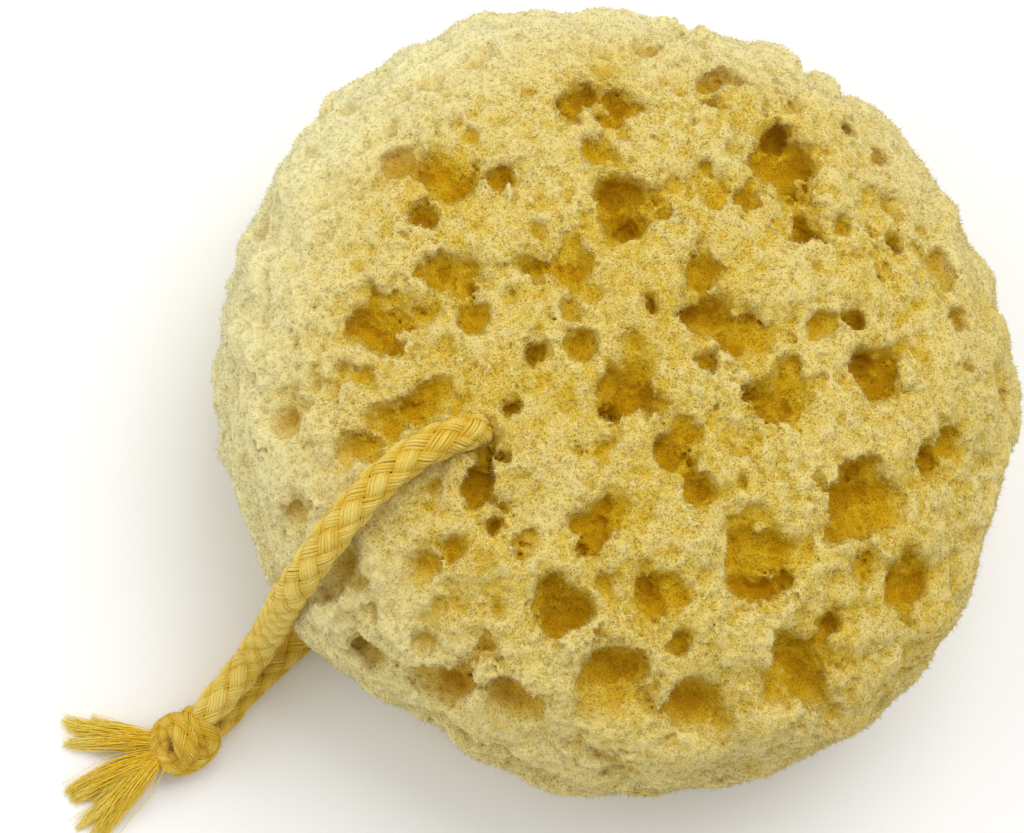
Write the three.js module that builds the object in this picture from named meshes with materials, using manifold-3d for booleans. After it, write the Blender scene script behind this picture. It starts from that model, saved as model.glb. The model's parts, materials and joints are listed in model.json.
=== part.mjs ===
// A round natural bath sponge with its hanging cord, lying on its flat face.
// Two real pieces: the sponge, grown and cut as one body, and one length of plaited cotton cord.
// The cord runs through a bore in the sponge, and its two legs meet in one knot with frayed ends.
// Millimetres, +Z up. The origin is about under the middle of the sponge, on the surface it rests on.
import * as THREE from "three";
import { mergeVertices } from "three/addons/utils/BufferGeometryUtils.js";
import Module from "manifold-3d";

const wasm = await Module();
wasm.setup();

// ---------- driving dimensions ----------
const SPONGE_RADIUS = 70; // half of the 140 mm across
const SPONGE_HEIGHT = 62;
const WAIST_HEIGHT = 31; // where the sponge is widest
const RIM_ROUNDNESS = 2.8; // exponent of the top rim's curve: 2 is an ellipse, more is boxier
const FOOT_ROUNDNESS = 3.2; // the same for the bottom rim
const FOOT_PRESS = 1.5; // how far the underside is pressed flat by lying on it
const ROUND_SIDES = 54;
const PROFILE_STEPS = 11; // steps from the waist to the middle of a face

// The outline is not quite a circle: waves round it, as [how many, how high, where the first crest is].
const OUTLINE_WAVES = [
  [2, 1.8, 2.37],
  [3, 0.7, 0.67],
  [4, 0.5, 0.27],
  [5, 0.45, 0.71],
  [7, 0.5, 0.9],
];
const BODY_SHIFT = [1.0, 0.8]; // x and y from the origin to the middle of the sponge

const CORD_DIAMETER = 6;
const CORD_SIDES = 10;
const CORD_STEPS = 60;
const BORE_STEPS = 32;
const BORE_CLEARANCE = 0.75; // the foam stands this far off the cord, all round
const GROOVE_DROP = 3; // the groove under the sponge is cut again this much lower, to open it
const TOUCH_GAP = 0.3; // between pieces that touch

// The cord's route, from the knot and back to it, along the middle of the cord.
const LEG_OVER_RIM = [
  [-68.8, -54.3, 8.1],
  [-67.3, -52.5, 8.2],
  [-65.6, -50.5, 8.3],
  [-63.6, -47.9, 8.9],
  [-61.6, -45.1, 10.3],
  [-59.9, -42.6, 13.2],
  [-58.8, -41.0, 18.0],
  [-58.2, -40.2, 25.0],
  [-58.0, -39.9, 32.5],
  [-57.4, -39.2, 40.0],
  [-55.9, -37.3, 47.0],
  [-53.1, -33.5, 52.8],
  [-49.4, -28.7, 57.0],
  [-44.8, -23.8, 60.0],
  [-39.8, -19.8, 61.9],
];
const THROUGH_SPONGE = [
  [-35.2, -17.2, 62.4],
  [-30.8, -15.1, 60.4],
  [-27.5, -13.5, 56.4],
  [-26.1, -12.9, 50.4],
  [-25.9, -12.8, 42],
  [-25.9, -12.8, 33],
  [-26.0, -12.9, 24],
  [-26.5, -13.4, 16],
  [-28.3, -15.2, 9.0],
  [-31.8, -18.7, 4.6],
  [-36.6, -23.6, 3.1],
  [-42.0, -29.1, 3.1],
  [-47.4, -34.8, 3.1],
];
const LEG_ON_FLOOR = [
  [-52.6, -40.4, 3.1],
  [-57.4, -46.0, 3.1],
  [-61.8, -51.4, 3.1],
  [-66.0, -57.2, 3.1],
];

const KNOT_CENTRE = [-72.7, -59.8, 5.5];
const KNOT_LENGTH = 12.4;
const KNOT_WIDTH = 12;
const KNOT_HEIGHT = 10.8;
const KNOT_TURN = 0.86; // radians from +X to the way the legs leave it
const KNOT_SIDES = 20;
const KNOT_RINGS = 12;

// Each frayed end: name, where it leaves the knot (x, y), the way it points (degrees from +X),
// its length, and its widths at the neck and the tip.
const FRAYED_ENDS = [
  ["frayed_end_narrow", -78.2, -57.6, 177, 15.5, 4.2, 8],
  ["frayed_end_wide", -77.0, -62.8, 216, 15.5, 4.2, 14],
];
const FRAYED_HEIGHT = 4.4;
const FRAYED_ROOT = 1.5; // how far a frayed end starts behind its neck, before the knot trims it
const FRAYED_TIP = 1; // length of the blunt tip, past the widest place
const FRAYED_LIFT = 0.1; // how far it lies above the surface
const FRAYED_SIDES = 14;

const CRATER_DETAIL = 1; // how often the twenty-sided ball that cuts a crater is divided
const WALL_CRATER_INSET = 0.5; // how far inside the outline the middle of a wall crater is
const SLOPE_STEP = 1; // step in radius that the slope of a face is measured over

// Main craters on the upper face: x, y, long way across, short way across, turn in degrees, depth.
const UPPER_CRATERS = [
  [-13, 48, 11, 5, 5, 4],
  [-3, 46, 10, 6, -10, 5],
  [13, 49, 8, 5, 40, 4],
  [-34, 34, 13, 9, 10, 6],
  [-33, 15, 11, 6, -5, 6],
  [-43, 7, 17, 10, 0, 6],
  [-3, 27, 13, 9, -25, 9],
  [-14, 17, 8, 5, 20, 4],
  [26, 38, 14, 11, -40, 7],
  [17, 30, 9, 6, 45, 5],
  [28, 25, 8, 7, 30, 6],
  [44, 25, 9, 5, 25, 5],
  [39, 18, 8, 6, 60, 5],
  [8, 9, 9, 8, 0, 7],
  [17, 6, 8, 7, 0, 6],
  [40, 1, 12, 7, 35, 7],
  [-4, -6, 11, 10, 50, 9],
  [22, -6, 12, 8, 20, 7],
  [54, -11, 11, 7, 55, 6],
  [5, -15, 8, 6, 40, 5],
  [-28, -23, 7, 5, -60, 6],
  [-8, -28, 13, 7, 30, 7],
  [37, -21, 15, 9, 65, 8],
  [20, -33, 13, 11, -25, 8],
  [47, -33, 11, 7, 75, 6],
  [-14, -41, 9, 8, -40, 8],
  [2, -40, 12, 6, 5, 6],
  [-6, -54, 12, 8, 50, 6],
  [28, -49, 13, 8, 40, 7],
];
// Main craters on the underside, the same way.
const LOWER_CRATERS = [
  [12, 30, 12, 8, 20, 7],
  [-20, 34, 10, 7, 70, 6],
  [34, 8, 11, 8, -30, 7],
  [8, -8, 9, 7, 0, 6],
  [26, -28, 13, 8, 45, 7],
  [-8, -40, 10, 8, -20, 6],
  [-46, 14, 12, 7, 60, 6],
];
// Main craters on the wall: bearing from +X in degrees, height, long way (level), short way, depth.
const WALL_CRATERS = [
  [8, 34, 10, 5, 5],
  [52, 26, 11, 6, 5],
  [80, 40, 9, 5, 5],
  [118, 30, 12, 6, 5],
  [158, 38, 9, 5, 4],
  [190, 24, 10, 5, 5],
  [246, 33, 11, 6, 5],
  [282, 22, 10, 5, 5],
  [305, 38, 9, 5, 5],
  [338, 27, 12, 6, 5],
];

// ---------- materials ----------
const sponge = new THREE.MeshStandardMaterial({ color: 0xd9c27a, roughness: 0.95, metalness: 0 });
const cotton = new THREE.MeshStandardMaterial({ color: 0xe3bb5c, roughness: 0.9, metalness: 0 });

// ---------- helpers ----------
function solidFrom(geometry) {
  const bare = geometry.clone();
  bare.deleteAttribute("normal");
  bare.deleteAttribute("uv");
  const merged = mergeVertices(bare, 1e-3);
  return new wasm.Manifold(
    new wasm.Mesh({
      numProp: 3,
      vertProperties: new Float32Array(merged.attributes.position.array),
      triVerts: new Uint32Array(merged.index.array),
    }),
  );
}

function geometryFrom(solid) {
  const { vertProperties, triVerts } = solid.getMesh();
  const geometry = new THREE.BufferGeometry();
  geometry.setAttribute("position", new THREE.BufferAttribute(new Float32Array(vertProperties), 3));
  geometry.setIndex(new THREE.BufferAttribute(new Uint32Array(triVerts), 1));
  geometry.computeVertexNormals();
  return geometry;
}

function named(name, geometry, material) {
  const mesh = new THREE.Mesh(geometry, material);
  mesh.name = name;
  return mesh;
}

// ---------- the sponge ----------
// Height above the waist (1 at the middle of a face, 0 at the waist) for a share of the radius.
function bulge(share, roundness) {
  return Math.pow(Math.max(0, 1 - Math.pow(share, roundness)), 1 / roundness);
}

function upperHeight(radius) {
  const share = Math.min(1, radius / SPONGE_RADIUS);
  return WAIST_HEIGHT + (SPONGE_HEIGHT - WAIST_HEIGHT) * bulge(share, RIM_ROUNDNESS);
}

function lowerHeight(radius) {
  const share = Math.min(1, radius / SPONGE_RADIUS);
  return Math.max(0, WAIST_HEIGHT - (WAIST_HEIGHT + FOOT_PRESS) * bulge(share, FOOT_ROUNDNESS));
}

// Profile radii crowd together towards the waist, where the profile is steep.
function profile() {
  const radii = [];
  for (let step = 0; step <= PROFILE_STEPS; step += 1) {
    radii.push(SPONGE_RADIUS * Math.sin((Math.PI / 2) * (step / PROFILE_STEPS)));
  }
  const lower = radii.map((radius) => new THREE.Vector2(radius, lowerHeight(radius)));
  const upper = radii.slice(0, -1).map((radius) => new THREE.Vector2(radius, upperHeight(radius)));
  return [...lower, ...upper.reverse()];
}

// How much wider than its round profile the sponge is, at a bearing.
function outlineShare(bearing) {
  let radius = SPONGE_RADIUS;
  for (const [count, height, crest] of OUTLINE_WAVES) {
    radius += height * Math.cos(count * (bearing - crest));
  }
  return radius / SPONGE_RADIUS;
}

function roundBody() {
  const geometry = new THREE.LatheGeometry(profile(), ROUND_SIDES);
  geometry.rotateX(Math.PI / 2);
  const position = geometry.attributes.position;
  for (let i = 0; i < position.count; i += 1) {
    const share = outlineShare(Math.atan2(position.getY(i), position.getX(i)));
    position.setXY(i, position.getX(i) * share, position.getY(i) * share);
  }
  geometry.computeBoundingBox();
  const middle = geometry.boundingBox.getCenter(new THREE.Vector3());
  geometry.translate(BODY_SHIFT[0] - middle.x, BODY_SHIFT[1] - middle.y, 0);
  return geometry;
}

// A crater is cut by a ball, flattened and turned to lie along the surface.
function craterCutter(longWay, shortWay, depth, turn, point, normal) {
  const ball = new THREE.IcosahedronGeometry(1, CRATER_DETAIL);
  ball.scale(longWay / 2, shortWay / 2, depth);
  ball.rotateZ(turn);
  const stand = new THREE.Quaternion().setFromUnitVectors(new THREE.Vector3(0, 0, 1), normal);
  ball.applyQuaternion(stand);
  ball.translate(point.x, point.y, point.z);
  return solidFrom(ball);
}

// A face crater: side is 1 on the upper face and -1 on the underside.
function faceCrater([x, y, longWay, shortWay, degrees, depth], side) {
  const heightAt = side > 0 ? upperHeight : lowerHeight;
  const radius = Math.hypot(x, y);
  const slope = (heightAt(radius + SLOPE_STEP) - heightAt(radius)) / SLOPE_STEP;
  const outward = new THREE.Vector3((-slope * x) / radius, (-slope * y) / radius, 1);
  const normal = outward.normalize().multiplyScalar(side);
  const point = new THREE.Vector3(x, y, heightAt(radius));
  return craterCutter(longWay, shortWay, depth, THREE.MathUtils.degToRad(degrees), point, normal);
}

function wallCrater([degrees, height, longWay, shortWay, depth]) {
  const bearing = THREE.MathUtils.degToRad(degrees);
  const normal = new THREE.Vector3(Math.cos(bearing), Math.sin(bearing), 0);
  const radius = SPONGE_RADIUS * outlineShare(bearing) - WALL_CRATER_INSET;
  const point = normal.clone().multiplyScalar(radius).setZ(height);
  point.add(new THREE.Vector3(...BODY_SHIFT, 0));
  const ball = new THREE.IcosahedronGeometry(1, CRATER_DETAIL);
  ball.scale(depth, longWay / 2, shortWay / 2);
  ball.rotateZ(bearing);
  ball.translate(point.x, point.y, point.z);
  return solidFrom(ball);
}

// ---------- the cord ----------
function smoothCurve(places) {
  const points = places.map((place) => new THREE.Vector3(...place));
  return new THREE.CatmullRomCurve3(points, false, "centripetal");
}

function cordTube(radius, curve, steps) {
  const section = new THREE.Shape();
  section.absarc(0, 0, radius, 0, 2 * Math.PI, false);
  return new THREE.ExtrudeGeometry(section, {
    steps,
    bevelEnabled: false,
    curveSegments: CORD_SIDES / 2, // an arc gets two points for each
    extrudePath: curve,
  });
}

// The bore follows the cord, and under the sponge it is a groove, open to the surface below.
function boreCutters() {
  const route = [...LEG_OVER_RIM.slice(-1), ...THROUGH_SPONGE.slice(1), ...LEG_ON_FLOOR.slice(0, 1)];
  const low = THROUGH_SPONGE.filter(([, , z]) => z < CORD_DIAMETER);
  const lowered = [...low, LEG_ON_FLOOR[0]].map(([x, y, z]) => [x, y, z - GROOVE_DROP]);
  const radius = CORD_DIAMETER / 2 + BORE_CLEARANCE;
  return [
    cordTube(radius, smoothCurve(route), BORE_STEPS),
    cordTube(radius, smoothCurve(lowered), lowered.length - 1),
  ];
}

function spongeBody() {
  let body = solidFrom(roundBody());
  const cutters = [
    ...UPPER_CRATERS.map((crater) => faceCrater(crater, 1)),
    ...LOWER_CRATERS.map((crater) => faceCrater(crater, -1)),
    ...WALL_CRATERS.map(wallCrater),
    ...boreCutters().map(solidFrom),
  ];
  for (const cutter of cutters) {
    body = body.subtract(cutter);
  }
  return geometryFrom(body);
}

// ---------- the knot and the frayed ends ----------
function knotBall() {
  const ball = new THREE.SphereGeometry(0.5, KNOT_SIDES, KNOT_RINGS);
  ball.rotateX(Math.PI / 2);
  ball.scale(KNOT_LENGTH, KNOT_WIDTH, KNOT_HEIGHT);
  ball.rotateZ(KNOT_TURN);
  ball.translate(...KNOT_CENTRE);
  return ball;
}

// A frayed end is a flat flaring bundle, lying on the surface, that is trimmed to the knot.
function frayedBundle([, x, y, degrees, length, neckWidth, tipWidth]) {
  const outline = [
    new THREE.Vector2(0, -FRAYED_ROOT),
    new THREE.Vector2(neckWidth / 2, -FRAYED_ROOT),
    new THREE.Vector2(neckWidth / 2, 0),
    new THREE.Vector2(tipWidth / 2, length - FRAYED_TIP),
    new THREE.Vector2(0, length),
  ];
  const bundle = new THREE.LatheGeometry(outline, FRAYED_SIDES);
  bundle.rotateZ(-Math.PI / 2);
  bundle.scale(1, 1, FRAYED_HEIGHT / tipWidth);
  bundle.rotateZ(THREE.MathUtils.degToRad(degrees));
  bundle.translate(x, y, FRAYED_HEIGHT / 2 + FRAYED_LIFT);
  return bundle;
}

function grown(geometry, centre, gap) {
  const grownGeometry = geometry.clone();
  grownGeometry.translate(-centre[0], -centre[1], -centre[2]);
  const share = 1 + (2 * gap) / KNOT_HEIGHT;
  grownGeometry.scale(share, share, share);
  grownGeometry.translate(...centre);
  return grownGeometry;
}

// ---------- assembly ----------
const cordCurve = smoothCurve([...LEG_OVER_RIM, ...THROUGH_SPONGE, ...LEG_ON_FLOOR]);
const object = new THREE.Group();
object.add(named("sponge", spongeBody(), sponge));
object.add(named("cord", cordTube(CORD_DIAMETER / 2, cordCurve, CORD_STEPS), cotton));
object.add(named("knot", knotBall(), cotton));

const knotAndGap = solidFrom(grown(knotBall(), KNOT_CENTRE, TOUCH_GAP));
for (const end of FRAYED_ENDS) {
  const bundle = solidFrom(frayedBundle(end)).subtract(knotAndGap);
  object.add(named(end[0], geometryFrom(bundle), cotton));
}

export default object;
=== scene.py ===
# %% [markdown]
# # A round bath sponge on its plaited cord
#
# The real thing is two pieces. One is a natural sponge, trimmed round, with its own
# craters, pores and a skin of fine springy fibre. The other is a plaited cotton cord that
# runs right through it, with both legs caught in one knot and the ends left to fray.
# The CAD model says where everything lies, so it is loaded first, and each piece then
# gets its real surface around it.

# %% Load the frame
import json
import math
from collections import namedtuple

import bpy
import numpy as np
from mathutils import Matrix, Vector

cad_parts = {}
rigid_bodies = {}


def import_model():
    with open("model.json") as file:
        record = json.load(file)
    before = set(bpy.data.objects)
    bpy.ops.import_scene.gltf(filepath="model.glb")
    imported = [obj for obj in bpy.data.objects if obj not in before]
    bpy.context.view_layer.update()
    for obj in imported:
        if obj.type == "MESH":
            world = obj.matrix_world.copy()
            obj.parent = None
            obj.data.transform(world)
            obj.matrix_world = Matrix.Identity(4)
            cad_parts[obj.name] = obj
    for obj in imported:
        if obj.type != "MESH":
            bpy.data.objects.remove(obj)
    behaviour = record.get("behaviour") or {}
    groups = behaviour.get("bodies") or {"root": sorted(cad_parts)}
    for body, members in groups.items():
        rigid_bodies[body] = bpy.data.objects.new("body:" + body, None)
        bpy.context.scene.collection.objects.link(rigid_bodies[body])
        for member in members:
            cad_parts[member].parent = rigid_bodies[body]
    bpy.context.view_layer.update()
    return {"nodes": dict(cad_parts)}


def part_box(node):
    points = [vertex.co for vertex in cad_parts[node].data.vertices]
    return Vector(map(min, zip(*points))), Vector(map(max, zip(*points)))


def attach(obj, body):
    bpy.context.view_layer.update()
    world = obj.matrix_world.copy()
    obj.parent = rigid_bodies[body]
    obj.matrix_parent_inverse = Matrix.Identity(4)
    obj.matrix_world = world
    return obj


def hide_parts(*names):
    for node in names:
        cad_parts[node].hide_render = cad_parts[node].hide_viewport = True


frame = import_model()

import openvdb
from mathutils import Matrix, Vector

MM = 0.001
rng = np.random.default_rng(41)

# %% [markdown]
# ## The camera
#
# The sponge lies flat and is seen from nearly overhead, tipped a little so that the near
# wall shows. A long lens from half a metre keeps the round outline round. The camera is
# built from three directions at right angles: towards the viewer, up and right.

# %% Camera
AIM = Vector((-0.0183, -0.0045, 0.0310))
CAMERA_DISTANCE = 0.48
CAMERA_TILT = math.radians(17)  # away from straight down
CAMERA_HEADING = Vector((0.53, 0.85)).normalized()  # the way it looks, on plan
VIEW_WIDTH = 0.1803  # what the frame takes in at the aim

toward = Vector(
    (
        -CAMERA_HEADING.x * math.sin(CAMERA_TILT),
        -CAMERA_HEADING.y * math.sin(CAMERA_TILT),
        math.cos(CAMERA_TILT),
    )
)
up = Vector((0, 1, 0))
up = (up - up.dot(toward) * toward).normalized()
bpy.ops.object.camera_add()
camera = bpy.context.object
camera.name = "camera"
camera.matrix_world = (
    Matrix.Translation(AIM + CAMERA_DISTANCE * toward)
    @ Matrix((up.cross(toward), up, toward)).transposed().to_4x4()
)
camera.data.sensor_width = 36
camera.data.lens = 36 * CAMERA_DISTANCE / VIEW_WIDTH
camera.data.clip_start = 0.02
bpy.context.scene.camera = camera
print("camera lens, mm:", round(camera.data.lens, 1))

# %% [markdown]
# ## The cord's route
#
# One length of cord leaves the knot, climbs the near wall of the sponge, goes down the
# bore, comes back under the sponge and lies on the floor up to the knot again. The places
# are the ones that the CAD tube follows, with two more at each end where the cord is
# tucked into the knot. Next to the knot the legs lie up to 2 mm closer together than the
# CAD tubes can, because soft cord gives. A centripetal Catmull-Rom curve goes through the
# places without loops at uneven spacing, and it is then cut into even steps, so that a
# step along the cord is a real distance.

# %% Route of the cord, in metres
ROUTE = [
    (-0.0688, -0.0543, 0.0084), (-0.0673, -0.0525, 0.0087), (-0.0656, -0.0505, 0.0089),
    (-0.0636, -0.0479, 0.0094), (-0.0616, -0.0451, 0.0103), (-0.0599, -0.0426, 0.0132),
    (-0.0588, -0.0410, 0.0180), (-0.0582, -0.0402, 0.0250), (-0.0580, -0.0399, 0.0325),
    (-0.0574, -0.0392, 0.0400), (-0.0559, -0.0373, 0.0470), (-0.0531, -0.0335, 0.0528),
    (-0.0494, -0.0287, 0.0570), (-0.0448, -0.0238, 0.0600), (-0.0398, -0.0198, 0.0619),
    (-0.0352, -0.0172, 0.0624), (-0.0308, -0.0151, 0.0604), (-0.0275, -0.0135, 0.0564),
    (-0.0261, -0.0129, 0.0504), (-0.0259, -0.0128, 0.0420), (-0.0259, -0.0128, 0.0330),
    (-0.0260, -0.0129, 0.0240), (-0.0265, -0.0134, 0.0160), (-0.0283, -0.0152, 0.0090),
    (-0.0318, -0.0187, 0.0046), (-0.0366, -0.0236, 0.0031), (-0.0420, -0.0291, 0.0031),
    (-0.0474, -0.0348, 0.0031), (-0.0528, -0.0402, 0.0031), (-0.0581, -0.0454, 0.0031),
    (-0.0630, -0.0504, 0.0031), (-0.0673, -0.0561, 0.0031),
]  # fmt: skip
TUCK_IN = [(-0.0728, -0.0594, 0.0060), (-0.0712, -0.0574, 0.0070)]
TUCK_OUT = [(-0.0701, -0.0586, 0.0042), (-0.0716, -0.0602, 0.0052)]
CORD_DIAMETER = 0.006
STEP = 0.25 * MM


def through(points, per_span=30):
    """Places close together on the centripetal Catmull-Rom curve through the points."""
    p = np.asarray(points, float)
    p = np.vstack([2 * p[0] - p[1], p, 2 * p[-1] - p[-2]])
    gap = np.sqrt(np.linalg.norm(np.diff(p, axis=0), axis=1))
    t = np.linspace(0, 1, per_span, endpoint=False)[:, None]
    places = []
    for i in range(1, len(p) - 2):
        before, here, after = gap[i - 1], gap[i], gap[i + 1]
        leave = (p[i] - p[i - 1]) / before - (p[i + 1] - p[i - 1]) / (before + here)
        leave = (leave + (p[i + 1] - p[i]) / here) * here
        arrive = (p[i + 1] - p[i]) / here - (p[i + 2] - p[i]) / (here + after)
        arrive = (arrive + (p[i + 2] - p[i + 1]) / after) * here
        places.append(
            (2 * t**3 - 3 * t**2 + 1) * p[i]
            + (t**3 - 2 * t**2 + t) * leave
            + (3 * t**2 - 2 * t**3) * p[i + 1]
            + (t**3 - t**2) * arrive
        )
    return np.vstack(places + [p[-2]])


def evenly(places, step):
    """The same line cut into even steps, and its length."""
    run = np.append(0, np.linalg.norm(np.diff(places, axis=0), axis=1).cumsum())
    along = np.linspace(0, run[-1], max(2, round(run[-1] / step)) + 1)
    return np.stack([np.interp(along, run, c) for c in places.T], 1), run[-1]


route, CORD_LENGTH = evenly(through(TUCK_IN + ROUTE + TUCK_OUT), STEP)
print("cord, knot to knot, mm:", round(CORD_LENGTH / MM, 1), "in", len(route), "steps")

# %% [markdown]
# ## A frame that travels along a line
#
# A plait is drawn round a straight cylinder, so each point on it is a distance along the
# cord, an angle round it and a radius. To lay it on the route, a pair of directions is
# carried along the line with no twist of its own: each step turns them only as much as
# the line turns. At the knot the first one points at the viewer, so the middle of the
# plait's pattern faces the front.

# %% Travelling frame
Line = namedtuple("Line", "places out side length")


def unit(v):
    """The same directions with a length of 1."""
    return v / np.linalg.norm(v, axis=-1, keepdims=True)


def travelling(places, first_out):
    """A line with two directions across it that turn no more than the line does."""
    ahead = unit(np.gradient(places, axis=0))
    out = np.empty_like(places)
    carried = np.asarray(first_out, float)
    for i, direction in enumerate(ahead):
        carried = unit(carried - carried @ direction * direction)
        out[i] = carried
    run = np.linalg.norm(np.diff(places, axis=0), axis=1).sum()
    return Line(places, out, np.cross(ahead, out), run)


def on_line(line, along, angle, radius):
    """The places at these distances along, angles round and radii, and the ways out there."""
    at = np.clip(along / line.length, 0, 1) * (len(line.places) - 1)
    low = np.minimum(at.astype(int), len(line.places) - 2)
    part = (at - low)[..., None]

    def between(values):
        return values[low] * (1 - part) + values[low + 1] * part

    turned = np.cos(angle)[..., None] * between(line.out)
    turned = unit(turned + np.sin(angle)[..., None] * between(line.side))
    return between(line.places) + radius[..., None] * turned, turned


cord_line = travelling(route, toward)

# %% [markdown]
# ## Meshes from arrays
#
# Yarns, hairs and fibres come in tens of thousands, and each is the same small shape
# bent another way. Drawing them one operator at a time would take hours, so their
# points are worked out together in arrays and become one mesh. Two shapes are
# enough: a closed tube through rings of points, and a spike with a three-cornered foot.
# Each shape also gets a tile of its own on a flat square map. The materials don't need the map: it
# gives the colours a place to be baked into.


# %% Mesh, tube and spike helpers
def mesh_object(name, points, faces):
    """An object at the origin from points in metres and arrays of faces, one per face size."""
    mesh = bpy.data.meshes.new(name)
    corners = np.concatenate([f.ravel() for f in faces]).astype(np.int32)
    sizes = np.concatenate([np.full(len(f), f.shape[1]) for f in faces])
    mesh.vertices.add(len(points))
    mesh.vertices.foreach_set("co", np.asarray(points, np.float32).ravel())
    mesh.loops.add(len(corners))
    mesh.loops.foreach_set("vertex_index", corners)
    mesh.polygons.add(len(sizes))
    starts = np.append(0, sizes.cumsum()[:-1]).astype(np.int32)
    mesh.polygons.foreach_set("loop_start", starts)
    mesh.update(calc_edges=True)
    mesh.shade_smooth()
    made = bpy.data.objects.new(name, mesh)
    bpy.context.collection.objects.link(made)
    return made


def give_map(piece, maps):
    """Stores a place on the flat map for every corner of every face."""
    layer = piece.data.uv_layers.new(name="OFBake")
    layer.data.foreach_set("uv", np.concatenate([m.ravel() for m in maps]).astype(np.float32))


def give(piece, **values):
    """Stores one number per point under each name, for the materials to read."""
    for name, numbers in values.items():
        layer = piece.data.attributes.new(name, "FLOAT", "POINT")
        layer.data.foreach_set("value", np.asarray(numbers, np.float32).ravel())


def tiles(count, across, up):
    """Tiles on a unit square for shapes of across by up faces: their low corners and size."""
    columns = max(1, round(math.sqrt(count * up / across)))
    rows = -(-count // columns)
    number = np.arange(count)
    low = np.stack([number % columns / columns, number // columns / rows], -1)
    return low, np.array([1 / columns, 1 / rows])


TILE_ENDS, TILE_SIDES = 0.02, 0.04  # shares of a tile that a tube's wall leaves free


def tubes(places, out, wide, thick, sides):
    """Closed tubes through places (yarns, steps, 3), oval across: points, faces and maps."""
    yarns, steps, _ = places.shape
    ahead = unit(np.gradient(places, axis=1))
    across = unit(np.cross(ahead, out))
    out = np.cross(across, ahead)
    turn = np.arange(sides) * (2 * math.pi / sides)
    rings = (
        places[:, :, None]
        + np.cos(turn)[:, None] * (out * thick[..., None])[:, :, None]
        + np.sin(turn)[:, None] * (across * wide[..., None])[:, :, None]
    )
    ids = np.arange(yarns * steps * sides).reshape(yarns, steps, sides)
    here, ahead_ids = ids[:, :-1], ids[:, 1:]
    walls = np.stack(
        [here, np.roll(here, -1, 2), np.roll(ahead_ids, -1, 2), ahead_ids], -1
    )
    caps = np.vstack([ids[:, 0, ::-1], ids[:, -1]])
    low, size = tiles(yarns, steps, sides)
    step, side = np.meshgrid(np.arange(steps - 1), np.arange(sides), indexing="ij")
    step = (step[..., None] + [0, 0, 1, 1]) / (steps - 1)
    side = (side[..., None] + [0, 1, 1, 0]) / sides
    spots = np.stack(
        [TILE_ENDS + (1 - 2 * TILE_ENDS) * step, TILE_SIDES + (1 - 2 * TILE_SIDES) * side], -1
    )
    wall_spots = low[:, None, None, None] + size * spots
    # The caps lie as narrow ovals in the strips that the wall leaves free at the tile's ends.
    ring = np.stack([0.2 * TILE_ENDS * np.cos(turn), 0.4 * np.sin(turn)], -1)
    starts, ends = (
        low[:, None] + size * ([end, 0.5] + ring) for end in (0.4 * TILE_ENDS, 1 - 0.4 * TILE_ENDS)
    )
    maps = [wall_spots.reshape(-1, 4, 2), np.vstack([starts[:, ::-1], ends])]
    return rings.reshape(-1, 3), [walls.reshape(-1, 4), caps], maps


def spikes(feet, ways, lengths, widths):
    """Thin three-sided spikes standing on feet (n, 3): points, faces and maps, foot first."""
    aside = unit(np.cross(ways, [0.31, 0.52, 0.79]))
    third = np.cross(ways, aside)
    points = np.empty((len(feet), 4, 3))
    for corner in range(3):
        turn = 2 * math.pi * corner / 3
        points[:, corner] = feet + widths[:, None] * (
            math.cos(turn) * aside + math.sin(turn) * third
        )
    points[:, 3] = feet + ways * lengths[:, None]
    first = 4 * np.arange(len(feet))[:, None]
    sides = np.array([[0, 2, 1], [0, 1, 3], [1, 2, 3], [2, 0, 3]])
    low, size = tiles(len(feet), 1, 1)
    # A spike has one colour, so all its faces share one triangle of its tile.
    spots = low[:, None, None] + size * np.array([[0.08, 0.08], [0.92, 0.08], [0.5, 0.92]])
    spots = np.broadcast_to(spots, (len(feet), 4, 3, 2)).reshape(-1, 3, 2)
    return points.reshape(-1, 3), (first[:, None] + sides).reshape(-1, 3), spots


# %% [markdown]
# ## The plait
#
# The cord is a round plait of eight flat strands: four wind one way, four the other, and
# each goes over one and under the next. Unrolled, it is a checkerboard. Number the strands
# of one family a and of the other b: the place where a and b cross lies at the angle
# (a + b) / 8 of a turn and at the distance (b - a) / 8 of the pitch along the cord. A
# strand rises where it goes over and sinks where it goes under, as a cosine does. Each
# strand is a ribbon of six soft yarns, a little higher in its middle.

# %% Plait
PLAIT_PITCH = 23.6 * MM  # one strand's way once round the cord
YARNS_PER_STRAND = 6
YARN_FLATTENED = 1.25  # a yarn's width over its thickness
STRAND_COVER = 0.90  # how much of its share of the round a ribbon covers
FRONT = -math.pi / 4  # turns a crossing of the b family to the front
CORE_SHARE = 0.69  # the filling's radius, as a share of the plait's
CORE_PAINTED_SHADE = 0.72  # painted shade between strands: the filling's colour depth, from 0 on a strand's crest to 1 between strands


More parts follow.
